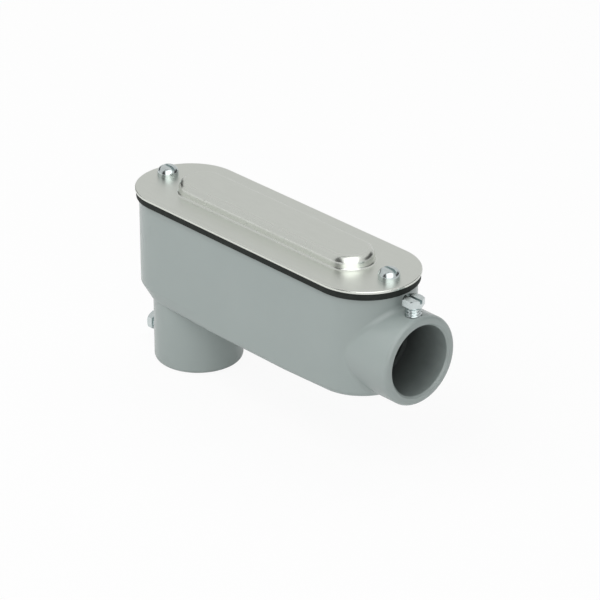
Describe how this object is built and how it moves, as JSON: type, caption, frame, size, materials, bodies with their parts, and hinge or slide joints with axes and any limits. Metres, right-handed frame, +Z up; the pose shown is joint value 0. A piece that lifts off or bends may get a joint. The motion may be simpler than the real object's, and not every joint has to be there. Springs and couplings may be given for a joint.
{
  "type": "conduit body",
  "caption": "Right-angle electrical conduit body: a long narrow wiring chamber with a removable gasketed cover, an end socket and a back socket, each closed on its tube by a set screw.",
  "frame": {"origin": "on the back hub's axis, where its socket's wall starts 0.6 mm inside the mouth", "axes": "+Z up the back hub's axis to the cover, +X along the chamber to the axial hub, XZ the plane of symmetry"},
  "size_m": [0.1316, 0.0364, 0.0669],
  "materials": {
    "enamel": "satin grey enamel over a die casting",
    "cover_steel": "satin galvanised sheet",
    "gasket_rubber": "matt black sheet rubber",
    "screw_zinc": "bright zinc plate"
  },
  "bodies": {
    "casting": {"body_casting": "enamel"},
    "cover": {"cover_plate": "cover_steel", "cover_gasket": "gasket_rubber"},
    "axial_cover_screw": {"cover_screw_axial": "screw_zinc"},
    "back_cover_screw": {"cover_screw_back": "screw_zinc"},
    "axial_set_screw": {"set_screw_axial": "screw_zinc"},
    "back_set_screw": {"set_screw_back": "screw_zinc"}
  },
  "joints": [
    {"name": "cover_lift", "type": "slide", "parent": "casting", "child": "cover", "axis": [0, 0, 1], "range_m": [0, 0.05]},
    {"name": "axial_cover_screw_turn", "type": "hinge", "parent": "cover", "child": "axial_cover_screw", "pos_m": [0.0929, 0, 0.0615], "axis": [0, 0, 1], "continuous": true},
    {"name": "back_cover_screw_turn", "type": "hinge", "parent": "cover", "child": "back_cover_screw", "pos_m": [-0.0147, 0, 0.0615], "axis": [0, 0, 1], "continuous": true},
    {"name": "axial_set_screw_advance", "type": "slide", "parent": "casting", "child": "axial_set_screw", "axis": [0, 0, -1], "range_m": [-0.0015, 0.0031]},
    {"name": "back_set_screw_advance", "type": "slide", "parent": "casting", "child": "back_set_screw", "axis": [1, 0, 0], "range_m": [-0.0015, 0.0038]}
  ]
}
